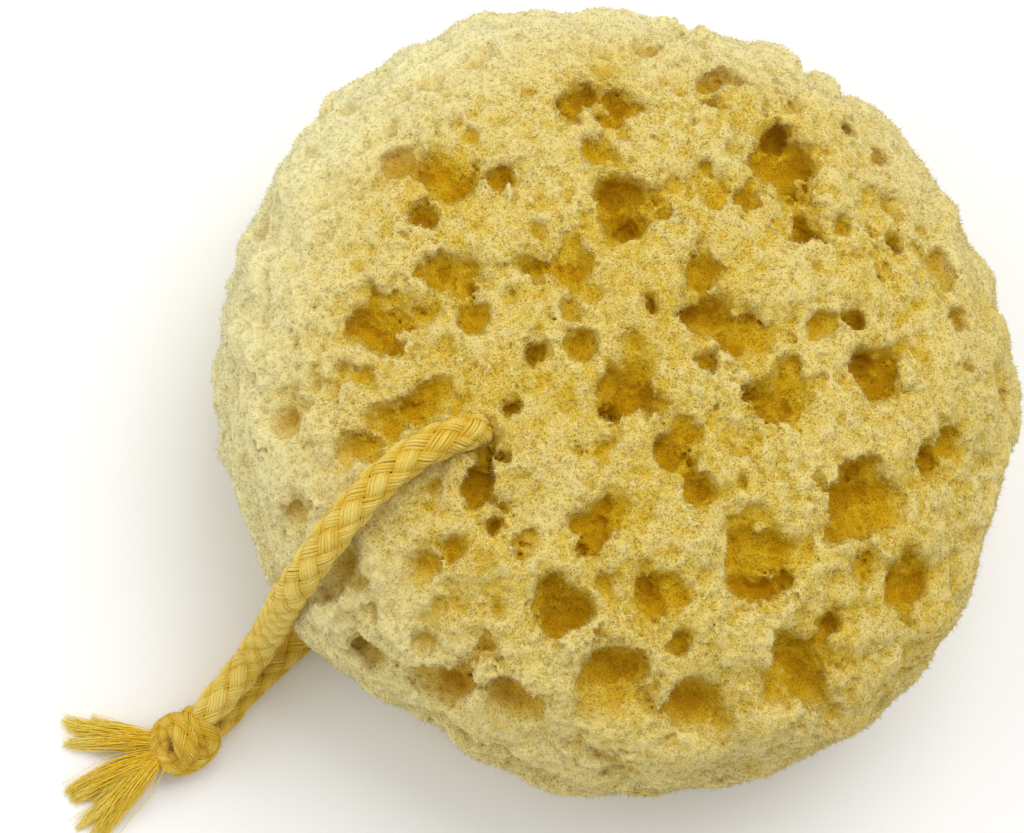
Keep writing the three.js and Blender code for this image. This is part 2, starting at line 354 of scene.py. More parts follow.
def plait(line, radii, step, pitch=PLAIT_PITCH, sides=5):
    """A plait all along a line: points, faces, maps, and values per point.

    radii is the outer radius along the line, as shares of its length and the radius there.
    """
    # Shares of the plait's radius: where the yarns lie, how far they rise and sink, how much
    # higher a ribbon's middle is, and a yarn's own radius.
    middle, wave, crown, yarn = 0.785, 0.105, 0.075, 0.088
    steps = round(line.length / step)
    spread = (np.arange(YARNS_PER_STRAND) + 0.5) / YARNS_PER_STRAND - 0.5
    places, outs, grown, tints, lows, alongs = [], [], [], [], [], []
    for family in (-1, 1):
        for strand in range(4):
            shade = rng.normal(0, 0.35)
            for share in spread:
                own = strand + share * STRAND_COVER
                # The other family's number runs on as the yarn goes along the cord.
                first, last = own, own + 8 * family * line.length / pitch
                other = np.linspace(first, last, steps)
                along = family * (other - own) * pitch / 8
                lift = family * np.cos(math.pi * (other - strand))
                angle = math.pi / 4 * (own + other) + FRONT
                wander = 0.004 * np.cumsum(rng.normal(0, 1, steps))
                wander -= np.linspace(wander[0], wander[-1], steps)
                size = np.interp(along / line.length, *radii)
                high = size * (middle + wave * lift + crown * (1 - (2 * share) ** 2))
                place, out = on_line(line, along, angle + wander, high)
                places.append(place)
                outs.append(out)
                alongs.append(along)
                grown.append(yarn * (1 + 0.12 * rng.normal()) * size)
                tints.append(shade + rng.normal(0, 0.6) * np.ones(steps))
                # Painted shade: a yarn is coloured deeper where its strand dives under the other
                # family and towards the ribbon's edges, in the creases between strands.
                lows.append(0.5 - 0.5 * lift + 0.35 * (2 * share) ** 2)
    thick = np.array(grown)
    wide = YARN_FLATTENED * thick
    points, faces, maps = tubes(np.array(places), np.array(outs), wide, thick, sides)
    values = {
        "tint": np.repeat(np.array(tints), sides),
        "sunk": np.repeat(np.array(lows), sides),
        "along": np.repeat(np.array(alongs), sides),
    }
    return points, faces, maps, values


def core(line, radii, step, sides=10):
    """The plain filling inside a plait, which stops light from passing between strands."""
    along = np.linspace(0, line.length, round(line.length / step))[None]
    place, out = on_line(line, along, np.zeros_like(along), np.zeros_like(along))
    size = CORE_SHARE * np.interp(along / line.length, *radii)
    points, faces, maps = tubes(place, out, size, size, sides)
    flat = np.zeros(len(points))
    values = {"tint": flat, "sunk": flat + CORE_PAINTED_SHADE, "along": np.repeat(along, sides)}
    return points, faces, maps, values


# Where the plait, its filling and its hairs lie in the height of the map.
BANDS = [(0.0, 0.78), (0.79, 0.87), (0.88, 1.0)]
HAIR_RADIUS = 0.035 * MM
HAIR_TINT = 1.4  # hairs are a little paler than the yarns
LOWEST = 0.05 * MM  # all cotton stays this far above the floor


def joined(parts):
    """Several (points, faces, maps, values) as one, each in its own band of the map."""
    points, faces, maps, values = [], {}, {}, {}
    count = 0
    for (part_points, part_faces, part_maps, part_values), (low, high) in zip(parts, BANDS):
        for block, spots in zip(part_faces, part_maps):
            faces.setdefault(block.shape[1], []).append(block + count)
            maps.setdefault(block.shape[1], []).append(spots * [1, high - low] + [0, low])
        for name, numbers in part_values.items():
            values.setdefault(name, []).append(np.ravel(numbers))
        points.append(part_points)
        count += len(part_points)
    faces = [np.vstack(blocks) for blocks in faces.values()]
    maps = [np.vstack(blocks) for blocks in maps.values()]
    return np.vstack(points), faces, maps, {n: np.concatenate(v) for n, v in values.items()}


def cotton_hairs(line, radii, count, length):
    """Loose cotton hairs that lie along a plait and lift off it a little."""
    along = rng.uniform(0, line.length, count)
    angle = rng.uniform(0, 2 * math.pi, count)
    radius = 0.94 * np.interp(along / line.length, *radii)
    feet, out = on_line(line, along, angle, radius)
    ahead, _ = on_line(line, along + MM, angle, radius)
    behind, _ = on_line(line, along - MM, angle, radius)
    ways = unit(ahead - behind) * rng.choice([-1, 1], (count, 1))
    ways = unit(ways + 0.9 * rng.normal(0, 0.5, (count, 3)) + 0.55 * out)
    lengths = length * rng.uniform(0.4, 1.3, count)
    keep = np.minimum(feet[:, 2], (feet + ways * lengths[:, None])[:, 2]) > LOWEST
    feet, ways, lengths, along = feet[keep], ways[keep], lengths[keep], along[keep]
    points, faces, spots = spikes(feet, ways, lengths, np.full(len(feet), HAIR_RADIUS))
    flat = np.full(len(points), HAIR_TINT)
    values = {"tint": flat, "sunk": 0 * flat, "along": np.repeat(along, 4)}
    return points, [faces], [spots], values


TUCKED = 0.045  # share of the cord, at each end, over which the knot squeezes it
SQUEEZE = 0.64  # the cord's size inside the knot, as a share
# The cord's tint changes along it: paler on the leg from the knot up the near wall to the rim,
# deeper from the top of the sponge on, and deepest on the leg under the sponge: shares of the
# cord's length, and the change of tint there.
CORD_TINT_ALONG = ([0, 0.25, 0.42, 0.8, 1], [0.7, 0.7, -1, -2.6, -1.6])
full, small = CORD_DIAMETER / 2, SQUEEZE * CORD_DIAMETER / 2
radii = ([0, TUCKED, 1 - TUCKED, 1], [small, full, full, small])
points, faces, maps, values = joined(
    [
        plait(cord_line, radii, step=0.74 * MM),
        core(cord_line, radii, step=1.0 * MM),
        cotton_hairs(cord_line, radii, count=11000, length=1.2 * MM),
    ]
)
points[:, 2] = np.maximum(points[:, 2], LOWEST)
values["tint"] += np.interp(values["along"] / CORD_LENGTH, *CORD_TINT_ALONG)
cord = mesh_object("cord_plait", points, faces)
give_map(cord, maps)
give(cord, **values)
print("cord plait:", len(cord.data.polygons), "faces")

# %% [markdown]
# ## The knot
#
# Both legs are tied in one overhand knot, pulled tight. What shows of it is the same
# cord, squeezed thinner, wrapped nearly twice round the legs with one turn crossing the
# other on a slant. So it is the same plait on a short helix whose ends tuck inside.

# %% Knot
KNOT_LOW, KNOT_HIGH = (np.array(corner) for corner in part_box("knot"))
KNOT_MIDDLE = (KNOT_LOW + KNOT_HIGH) / 2
KNOT_AXIS = unit(np.array([math.cos(0.86), math.sin(0.86), 0.0]))  # towards the legs
KNOT_ACROSS = np.array([-KNOT_AXIS[1], KNOT_AXIS[0], 0.0])
UP = np.array([0.0, 0.0, 1.0])


def about_knot(axial, across, rise):
    """A place about the knot's middle, in mm: along its axis, to its left, and up."""
    return KNOT_MIDDLE + MM * (axial * KNOT_AXIS + across * KNOT_ACROSS + rise * UP)


# Along the axis, to its left, up, and the radius there, in mm.
WRAP = [
    (1.0, -0.4, -1.2, 1.5), (2.8, 0.9, -2.0, 1.8), (3.8, 2.1, -0.8, 2.0), (3.7, 2.2, 1.2, 2.1),
    (3.2, 0.7, 2.7, 2.2), (3.2, -1.3, 2.6, 2.3), (3.0, -2.6, 1.0, 2.5), (1.4, -2.9, -0.5, 2.6),
    (-1.0, -2.6, -1.1, 2.6), (-3.2, -1.4, -1.3, 2.5), (-4.2, 0.5, -1.2, 2.3),
    (-3.7, 2.6, -1.0, 2.2), (-2.0, 3.7, -0.6, 2.3), (0.2, 3.8, 0.1, 2.4), (1.2, 2.7, 1.7, 2.4),
    (0.5, 0.9, 2.9, 2.5), (-0.6, -0.8, 2.7, 2.3), (-1.4, -1.9, 1.2, 1.9), (-1.6, -1.2, -0.8, 1.5),
]  # fmt: skip
places = [about_knot(*row[:3]) for row in WRAP]
wrap, _ = evenly(through(places), STEP)
wrap_line = travelling(wrap, wrap[0] - KNOT_MIDDLE + MM * UP)
gaps = np.linalg.norm(np.diff(places, axis=0), axis=1)
radii = (np.append(0, gaps.cumsum()) / gaps.sum(), [MM * row[3] for row in WRAP])
KNOT_PITCH = 17 * MM
KNOT_PAINTED_SHADE = 0.42  # painted shade: the whole knot's colour is made a shade deeper
points, faces, maps, values = joined(
    [
        plait(wrap_line, radii, step=0.62 * MM, pitch=KNOT_PITCH),
        core(wrap_line, radii, step=0.8 * MM),
        cotton_hairs(wrap_line, radii, count=2600, length=1.1 * MM),
    ]
)
# Painted shade: every point of the knot is coloured a shade deeper.
values["sunk"] += KNOT_PAINTED_SHADE
points[:, 2] = np.maximum(points[:, 2], 3 * LOWEST)
knot = mesh_object("knot_wraps", points, faces)
give_map(knot, maps)
give(knot, **values)
print("knot:", len(knot.data.polygons), "faces")

# %% [markdown]
# ## The frayed ends
#
# Past the knot the cord is undone. Its yarns open into fine threads that stay together in
# wisps, fan out flat on the table and bend a little, each its own way. Two brushes leave
# the knot side by side: a narrow one and a wider one. Every thread is a thin closed tube
# with its own length and bend.

# %% Frayed ends
# Name of the node, where it leaves the knot in mm from its middle, the way it points on plan
# and half the spread of the fan in degrees, length, and number of wisps.
BRUSHES = [
    ("frayed_end_narrow", (-5.0, 0.2), 171, 11, 16.5 * MM, 5),
    ("frayed_end_wide", (-4.6, -2.4), 214, 23, 18.0 * MM, 9),
]
THREADS_PER_WISP = 118
THREAD_STEPS = 12
THREAD_RADIUS = 0.062 * MM
NECK_HEIGHT = 4.4 * MM


def brush(neck, heading, fan, length, wisps):
    """Threads that leave the knot together and fan out over the table."""
    places, sizes, tints, lows = [], [], [], []
    share = np.linspace(0, 1, THREAD_STEPS)
    arch = np.sin(math.pi * share**0.8)
    swell = arch + 0.2 * share
    root = KNOT_MIDDLE[:2] + MM * np.array(neck)
    for wisp in range(wisps):
        lean = heading + fan * (2 * (wisp + 0.5) / wisps - 1) + rng.normal(0, 1.5)  # degrees
        reach = length * (0.72 + 0.34 * rng.random())
        curl = rng.normal(0, 10)  # degrees that it has turned by its tip
        lift = rng.uniform(0.2, 3.0) * MM  # how high it arches off the table
        shade = rng.normal(0, 0.7)
        plump = rng.uniform(0.5, 0.85) * MM  # how far its threads belly out from its middle
        way = math.radians(lean)
        side = np.array([-math.sin(way), math.cos(way)])
        for _ in range(THREADS_PER_WISP):
            stray = 9.0 * rng.random() ** 5 * rng.choice([-1, 1])  # degrees, for most nearly none
            bearing = np.radians(lean + curl * share**2 + stray * share)
            run = reach * (1 - 0.5 * rng.random() ** 1.7) / (THREAD_STEPS - 1)
            ahead = np.stack([np.cos(bearing), np.sin(bearing)], 1) * run
            start = root + side * rng.normal(0, 0.45 * MM)
            belly = plump * np.clip(rng.normal(0, 0.8, 2), -1.6, 1.6)
            plan = start + np.vstack([[0, 0], ahead[:-1].cumsum(0)])
            wobble = 0.13 * MM * np.sin(share * rng.uniform(5, 14) + rng.uniform(0, 6))
            plan = plan + (belly[0] * swell + wobble)[:, None] * side
            height = (NECK_HEIGHT + rng.normal(0, 0.5 * MM)) * (1 - share) ** 1.5
            height = height + (lift + belly[1]) * arch + 0.3 * MM
            height = height + 0.6 * MM * rng.random() * share
            places.append(np.column_stack([plan, np.maximum(height, 3 * LOWEST)]))
            sizes.append(THREAD_RADIUS * (1.2 - 0.6 * share) * rng.uniform(0.8, 1.3))
            tints.append(shade + rng.normal(0, 0.8) + 3.0 * np.clip(share - 0.6, 0, 1))
            lows.append(0.62 - 0.35 * share + 0.3 * rng.random())
    size = np.array(sizes)
    places = np.array(places)
    points, faces, maps = tubes(places, np.broadcast_to(UP, places.shape), size, size, 4)
    values = {
        "tint": np.repeat(np.array(tints), 4),
        "sunk": np.repeat(np.array(lows), 4),
    }
    return points, faces, maps, values


brushes = []
for node, neck, heading, fan, length, wisps in BRUSHES:
    points, faces, maps, values = brush(neck, heading, fan, length, wisps)
    made = mesh_object(node + "_threads", points, faces)
    give_map(made, maps)
    give(made, **values)
    brushes.append((made, node))
    print(made.name, len(made.data.polygons), "faces")

# %% [markdown]
# ## Node helpers for materials
#
# Every material here is built from a few nodes, so one helper adds a node with its
# settings, and another sets or links its sockets. The rest are the kinds of node that the
# materials share: arithmetic, a change of range, noise, a mix, a ramp and a stored number.


# %% Node helpers
def shader(name):
    """A new material with a Principled shader: material, node tree and shader."""
    material = bpy.data.materials.new(name)
    material.use_nodes = True
    return material, material.node_tree, material.node_tree.nodes["Principled BSDF"]


def feed(tree, node, inputs):
    """Links the node's sockets to other sockets, or sets them to plain values."""
    for key, value in inputs.items():
        if isinstance(value, bpy.types.NodeSocket):
            tree.links.new(value, node.inputs[key])
        else:
            node.inputs[key].default_value = value


def add(tree, kind, inputs=None, **settings):
    """A node of that kind, with its settings and its sockets."""
    node = tree.nodes.new("ShaderNode" + kind)
    for key, value in settings.items():
        setattr(node, key, value)
    feed(tree, node, inputs or {})
    return node


def math_node(tree, operation, *values, clamp=False):
    """One step of arithmetic on sockets and numbers."""
    inputs = dict(enumerate(values))
    return add(tree, "Math", inputs, operation=operation, use_clamp=clamp).outputs[0]


def ranged(tree, value, low, high, to_low=0.0, to_high=1.0):
    """The value carried over from one range to another, and held at its ends."""
    inputs = {"Value": value, "From Min": low, "From Max": high}
    inputs |= {"To Min": to_low, "To Max": to_high}
    return add(tree, "MapRange", inputs).outputs[0]


def noise_node(tree, where, scale, detail=2.0):
    """Cloudy noise from 0 to 1, with about scale clouds to a metre."""
    inputs = {"Vector": where, "Scale": scale, "Detail": detail}
    return add(tree, "TexNoise", inputs).outputs["Fac"]


def mixed(tree, share, first, second):
    """Two colours mixed, the second one by the share."""
    return add(tree, "MixRGB", {"Fac": share, "Color1": first, "Color2": second}).outputs[0]


def ramp(tree, factor, stops):
    """A ramp of (place, colour) stops."""
    node = add(tree, "ValToRGB", {"Fac": factor})
    elements = node.color_ramp.elements
    while len(elements) < len(stops):
        elements.new(0.5)
    for element, (place, colour) in zip(elements, stops):
        element.position = place
        element.color = (*colour, 1)
    return node.outputs["Color"]


def attribute(tree, name):
    """The number stored under that name with the piece's points."""
    return add(tree, "Attribute", attribute_name=name).outputs["Fac"]


# %% [markdown]
# ## Cotton
#
# The cord is soft dyed cotton with no shine: warm straw yellow on the strands' crests, and deeper
# gold between the strands, which is painted shade. Each yarn has a slightly different tone, stored
# with its points, and a fine noise gives the mottling of spun thread. Inside the plait light
# bounces from yarn to yarn, and in the loose ends it gets lost, so their own colours are brighter.
# The knot's colour is a painted shade deeper all over.

# %% Cotton material
def cotton(name, stops, sheen):
    """Matte dyed cotton whose colour runs through the stops, from pale to deep."""
    material, tree, cloth = shader(name)
    where = add(tree, "TexCoord").outputs["Object"]
    spun = noise_node(tree, where, 2600.0)
    patches = noise_node(tree, where, 160.0)
    shade = ranged(tree, attribute(tree, "tint"), -4.0, 4.0, 0.40, -0.40)
    # Painted shade: the stored sunk value deepens the colour between the plait's strands and over
    # the knot; in the frayed ends it makes the colour deeper towards the knot.
    sunk = math_node(tree, "MULTIPLY", attribute(tree, "sunk"), 0.60)
    factor = math_node(tree, "ADD", sunk, shade)
    factor = math_node(tree, "ADD", factor, ranged(tree, spun, 0.3, 0.7, -0.12, 0.12))
    factor = math_node(tree, "ADD", factor, ranged(tree, patches, 0.3, 0.7, -0.08, 0.08))
    bump = add(tree, "Bump", {"Height": spun, "Strength": 0.35, "Distance": 0.15 * MM})
    finish = {
        "Base Color": ramp(tree, factor, stops),
        "Roughness": 0.85,
        "Specular IOR Level": sheen,
        "Sheen Weight": sheen,
        "Sheen Tint": (1.0, 0.85, 0.5, 1),
        "Sheen Roughness": 0.5,
        "Subsurface Weight": 0.15,
        "Subsurface Radius": (0.9, 0.6, 0.2),
        "Subsurface Scale": 0.8 * MM,
        "Normal": bump.outputs[0],
    }
    feed(tree, cloth, finish)
    return material


PLAITED = [
    (0.0, (0.80, 0.61, 0.15)),
    (0.35, (0.71, 0.47, 0.05)),
    (0.7, (0.63, 0.365, 0.011)),
    (1.0, (0.48, 0.245, 0.003)),
]
LOOSE = [
    (0.0, (0.95, 0.80, 0.21)),
    (0.35, (0.93, 0.66, 0.055)),
    (0.7, (0.88, 0.50, 0.016)),
    (1.0, (0.72, 0.36, 0.005)),
]
plaited_cotton = cotton("plaited_cotton", PLAITED, 0.12)
loose_cotton = cotton("loose_cotton", LOOSE, 0.0)
for piece in (cord, knot):
    piece.data.materials.append(plaited_cotton)
for made, _ in brushes:
    made.data.materials.append(loose_cotton)

# %% [markdown]
# ## The sponge as a volume
#
# A natural sponge is all holes, with overhangs, tunnels and thin bridges, and moving the
# points of a mesh in and out can't make those. A volume can: space is cut into small cubes,
# and each stores its distance from the surface, negative inside. Adding waves of noise to
# these distances roughens the surface, and taking the larger of the distance and a hole's
# own distance cuts that hole. The CAD solid gives the first distances, and its convex
# hull says how deep below the trimmed outside any place is.

# %% Distances from the CAD sponge
VOXEL = 0.5  # mm
MARGIN = 4.0  # mm of empty space kept round the sponge
CAD_BAND, HULL_BAND = 8.0, 14.0  # mm each side where the distances are exact


def mesh_arrays(piece):
    """The points, in mm, and triangles of an object's mesh."""
    mesh = piece.data
    mesh.calc_loop_triangles()
    points = np.empty(3 * len(mesh.vertices), np.float32)
    mesh.vertices.foreach_get("co", points)
    triangles = np.empty(3 * len(mesh.loop_triangles), np.int32)
    mesh.loop_triangles.foreach_get("vertices", triangles)
    return points.reshape(-1, 3) / MM, triangles.reshape(-1, 3)


bpy.ops.object.select_all(action="DESELECT")
mould = frame["nodes"]["sponge"].copy()
mould.data = mould.data.copy()
bpy.context.collection.objects.link(mould)
bpy.context.view_layer.objects.active = mould
mould.select_set(True)
bpy.ops.object.mode_set(mode="EDIT")
bpy.ops.mesh.select_all(action="SELECT")
bpy.ops.mesh.remove_doubles(threshold=0.01 * MM)
bpy.ops.object.mode_set(mode="OBJECT")
cad_points, cad_triangles = mesh_arrays(mould)
bpy.ops.object.mode_set(mode="EDIT")
bpy.ops.mesh.select_all(action="SELECT")
bpy.ops.mesh.convex_hull()
bpy.ops.object.mode_set(mode="OBJECT")
hull_points, hull_triangles = mesh_arrays(mould)
bpy.data.objects.remove(mould)

LOW_CELL = np.floor((cad_points.min(0) - MARGIN) / VOXEL).astype(int)
CELLS = np.ceil((cad_points.max(0) + MARGIN) / VOXEL).astype(int) - LOW_CELL
CELLS += (-CELLS) % 12  # sizes that the Fourier transform is quick at


def distances(points, triangles, band):
    """Signed distance in mm of every cell from a closed mesh, exact within the band."""
    transform = openvdb.createLinearTransform(voxelSize=VOXEL)
    grid = openvdb.FloatGrid.createLevelSetFromPolygons(
        points,
        triangles=triangles.astype(np.uint32),
        transform=transform,
        halfWidth=band / VOXEL,
    )
    cells = np.empty(CELLS, np.float32)
    grid.copyToArray(cells, ijk=tuple(int(c) for c in LOW_CELL))
    return cells


cad_foam = distances(cad_points, cad_triangles, CAD_BAND)
hull = distances(hull_points, hull_triangles, HULL_BAND)
cell_x, cell_y, cell_z = (
    ((LOW_CELL[i] + np.arange(CELLS[i])) * VOXEL).astype(np.float32) for i in range(3)
)
print("cells:", CELLS, "solid share:", round(float((cad_foam < 0).mean()), 3))

# %% [markdown]
# ## Swellings
#
# Foam is soft, and a real sponge is never quite round. Where the cord presses into the
# wall, the foam bulges beside it, and in two places the outline is a little flat. Taking
# a number off the distances moves the surface out by that much, so each swelling is a
# smooth hill of millimetres, strongest at one bearing and fading to nothing round it.

# %% Swellings
# How far out in mm, at what bearing and over what spread in radians, and the height in mm
# at which it has faded out.
SWELLS = [(3.5, 3.87, 0.22, 56), (-2.0, 1.74, 0.30, 90), (-1.3, 5.98, 0.18, 90)]
SWELL_FROM, SWELL_FADE = 40, 20  # mm from the middle, and mm over which it grows or fades
bearing = np.arctan2(cell_y[None], cell_x[:, None]) % (2 * math.pi)
from_axis = np.sqrt(cell_x[:, None] ** 2 + cell_y[None] ** 2)
for amount, at, spread, top in SWELLS:
    hill = amount * np.exp(-(((bearing - at) / spread) ** 2))
    hill = hill * np.clip((from_axis - SWELL_FROM) / SWELL_FADE, 0, 1)
    swell = hill[:, :, None] * np.clip((top - cell_z) / SWELL_FADE, 0, 1)
    cad_foam -= swell
    hull -= swell
del hill, swell, bearing
print("solid share with the swellings:", round(float((cad_foam < 0).mean()), 3))

# %% [markdown]
# ## Waves of noise
#
# Growth has several sizes at once: soft lumps as wide as a thumb, knobs as wide as a
# lentil, beads, and lace as fine as a thread. A Fourier transform makes noise of one chosen wave
# length: random waves are kept only near that length and then added up. On the wall the
# fibres lie in level layers, so there the noise is long sideways and short in height.


# %% Noise of a chosen wave length
SHAPE = tuple(int(c) for c in CELLS)


def wave_squares(lengths=(1, 1, 1)):
    """How many waves of these lengths in x, y and z fit in each wave of the transform, squared."""
    waves = [np.fft.fftfreq(n, VOXEL) for n in SHAPE[:2]] + [np.fft.rfftfreq(SHAPE[2], VOXEL)]
    squares = [(w * length) ** 2 for w, length in zip(waves, lengths)]
    return squares[0][:, None, None] + squares[1][:, None] + squares[2]


def from_waves(spectrum):
    """The field over all cells that these waves add up to."""
    return np.fft.irfftn(spectrum, s=SHAPE, axes=(0, 1, 2)).astype(np.float32)


def noise(lengths, width=0.30):
    """Noise over all cells with waves of about those lengths in x, y and z, in mm."""
    size = np.sqrt(wave_squares(lengths))
    band = np.exp(-0.5 * ((size - 1) / width) ** 2).astype(np.float32)
    random = rng.standard_normal((*band.shape, 2), np.float32)
    field = from_waves((random[..., 0] + 1j * random[..., 1]) * band)
    return field / field.std()


def blurred(field, *spreads):
    """The field blurred by each spread, in mm."""
    size = wave_squares().astype(np.float32)
    waves = np.fft.rfftn(field)
    return [from_waves(waves * np.exp(-2 * (math.pi * spread) ** 2 * size)) for spread in spreads]


def step_between(value, low, high):
    """0 below low, 1 above high, and smooth between."""
    share = np.clip((value - low) / (high - low), 0, 1)
    return share * share * (3 - 2 * share)


lumps = noise((14, 14, 14))
blobs = noise((8, 8, 8), 0.40)
knobs = noise((4.6, 4.6, 4.6), 0.40)
beads = noise((2.5, 2.5, 2.5), 0.35)
lace = noise((1.5, 1.5, 1.5), 0.40)
layers = noise((15, 15, 4.2), 0.45)
WALL_FROM, WALL_TO = 56, 67  # mm from the middle, where the face turns into the wall
wall = step_between(from_axis, WALL_FROM, WALL_TO)[:, :, None]
print("noise fields ready")

# %% [markdown]
# ## Soften the craters and close the bore
#
# A knife cuts the craters of the CAD solid sharp, while real ones have worn, sloping rims.
# How far each place lies below the convex hull is blurred, which gives every crater a
# sloping rim and leaves the outline alone. Before that, each level is slid sideways, more
# the deeper it lies, so the craters lean in under their near rim. After it, noise makes the
# rims ragged, and a curve that flattens out levels the floors. The CAD bore is also wider
# than the cord, and real foam closes round it. So the bore is filled in here, and it is cut
# again at the cord's own size after the surface has been roughened.


# %% Distance from the cord
def cells_between(low, high):
    """The block of cells between two places in mm: its slices, and its cells' x, y and z."""
    low = np.clip(np.floor(low / VOXEL).astype(int) - LOW_CELL, 0, CELLS)
    high = np.clip(np.ceil(high / VOXEL).astype(int) - LOW_CELL, 0, CELLS)
    block = tuple(slice(a, b) for a, b in zip(low, high))
    x, y, z = cell_x[block[0]], cell_y[block[1]], cell_z[block[2]]
    return block, x[:, None, None], y[None, :, None], z[None, None]


def distance_from(line, reach):
    """Distance in mm of every cell from a line of places, worked out only within reach."""
    field = np.full(CELLS, 2 * reach, np.float32)
    for place in line:
        block, x, y, z = cells_between(place - reach, place + reach)
        x, y, z = x - place[0], y - place[1], z - place[2]
        part = field[block]
        np.minimum(part, np.sqrt(x * x + y * y + z * z), out=part)
    return field


CORD_ROOM = 2.7  # mm from the cord's middle to the foam
FILLED = 5.2  # mm from the cord's middle that are filled first
FILLING_BELOW = 0.8  # mm that the filling stays below the outside
cord_gap = distance_from(route[::4] / MM, reach=6.5)
foam = np.minimum(cad_foam, np.maximum(cord_gap - FILLED, hull + FILLING_BELOW))
print("cells near the cord:", int((cord_gap < FILLED).sum()))

# %% Soft craters
WORN, FINE_WORN = 2.3, 0.6  # mm, the spreads of two blurs, mixed so that rims stay lively
WORN_SHARE = 0.75  # of the wide blur in the mix
DEEPER = 1.5  # gives back the depth that the blur takes
DEEPEST = 5.6  # mm, where the craters' floors level out
LEAN = 0.36  # mm that a level slides sideways for each mm that it lies deeper
LEAN_DEPTH = 9.0  # mm below the top, where the slide stops growing
LEAN_ABOVE = 46.0  # mm up, the lowest level that slides
RAGGED, RAGGED_SHARE = 0.28, 0.12  # mm, and share of the depth, that noise moves the rims
sunk = np.clip(foam - hull, 0, LEAN_DEPTH)
for k in np.flatnonzero(cell_z > LEAN_ABOVE):
    shift = LEAN * np.clip(cell_z[-1] - MARGIN - cell_z[k], 0, LEAN_DEPTH)
    sunk[:, :, k] = np.roll(sunk[:, :, k], -round(float(shift) / VOXEL), axis=1)
sunk, sunk_near = blurred(sunk, WORN, FINE_WORN)
sunk = DEEPER * (WORN_SHARE * sunk + (1 - WORN_SHARE) * sunk_near)
sunk = np.clip(sunk * (1 + RAGGED_SHARE * blobs) + RAGGED * (blobs - 0.4), 0, None)
foam = hull + DEEPEST * np.tanh(sunk / DEEPEST)
del cad_foam, sunk, sunk_near
print("solid share after softening:", round(float((foam < 0).mean()), 3))

# %% [markdown]
# ## Pits and pores
#
# The big craters are already cut in the CAD solid. Between and inside them are smaller
# holes: a few dozen pits as wide as a lentil, shallow dents, dark shafts in the bottom of the
# craters, and hundreds of pores. Each is a capsule, a ball dragged down from the outside,
# so its distance is easy to work out, and only the cells near it are touched. Where a hole
# meets the surface, the two distances run into each other smoothly, which rounds its rim.

# %% Where the pits are
# Place on the upper face, radius and depth below the outside, in mm.
SHAFTS = [
    (-1, 24, 2.0, 6), (-5, 29, 1.7, 5), (-7, -10, 2.0, 7.5), (-13, -43, 1.8, 5),
    (-16, -39, 1.6, 4.5), (1, -39, 1.4, 5), (33, -22, 1.6, 5.5), (37, 7, 1.7, 2.5),
    (31, -44, 1.9, 5.5), (-28, -22, 1.9, 3.2), (-26, -30, 1.7, 2.6), (37, 1, 2.2, 5),
    (-9, 48, 1.7, 3.5), (-4, 47, 1.7, 3.5), (15, 52, 1.8, 2.5), (24, 42, 2.1, 6),
    (-19, 0, 1.4, 2.4), (17, -7, 1.9, 4), (51, -14, 2.0, 4), (-5, -53, 2.0, 5),
    (-22.9, -10.7, 1.7, 2.5),
]  # fmt: skip
PITS = [
    (-38, 23, 1.7, 1.8), (-51, -5, 2.4, 0.4), (-47, -6, 1.4, 1.0), (-13, 15, 2.6, 0.6),
    (-19, 13, 1.9, 0.7), (31, 6, 2.0, 1.0), (9, -23, 2.5, 1.0), (24, -2, 2.0, 1.2),
    (-49, -36, 2.6, 0.6), (-32, -34, 2.0, 0.8), (-36, -36, 1.9, 0.6), (-36, -48, 2.2, 0.6),
    (-27, -49, 2.3, 0.8), (-30, -56, 2.6, 0.6), (15, -61, 2.4, 1.0), (3, -16, 2.5, 1.0),
    (10, -2, 1.9, 0.8), (43, -25, 2.3, 0.8), (-45, -20, 1.7, 0.4),
    (-21, -34, 1.8, 0.8), (6, -48, 2.2, 0.8), (24, -47, 2.4, 1.2), (37, -34, 2.2, 0.8),
    (-58, -26, 2.4, 0.6), (-52, -40, 2.4, 0.6), (-60, -12, 2.4, 0.6), (-42, 33, 2.2, 0.8),
    (-28, 54, 2.2, 0.8), (3, 58, 2.4, 0.8), (38, 46, 2.2, 0.8), (45, 30, 2.4, 0.8),
    (53, 21, 2.2, 0.8), (56, 10, 2.2, 0.8), (0, 8, 1.9, 0.8), (-24, 30, 2.0, 0.8),
    (-43, -13.5, 3.4, 0.1), (-37.5, -11, 3.0, 0.1), (-49, -17, 3.2, 0.0),
    (-12, 0, 2.6, 0.3), (-8, 36, 2.6, 0.4), (12, 30, 3.0, 0.3), (28, 30, 2.8, 0.3),
    (-30, 5, 2.8, 0.2), (-36, -57, 4.2, 0.1), (-20, -59, 4.4, 0.2), (-5, -55, 4.0, 0.4),
    (8, -60, 3.9, 0.2), (-44, -50, 3.0, 0.2), (30, -56, 2.8, 0.4), (46, -38, 2.8, 0.4),
    (10, 14, 2.6, 0.3),
]  # fmt: skip
print(len(SHAFTS), "shafts and", len(PITS), "pits and dents")

# %% Cut pits and pores
SOFT_RIM = 2.5  # mm over which a hole's rim is rounded
HOLE_LEAN = np.array([0.12, 0.18, 1.0])  # a hole leans in a little under its near rim


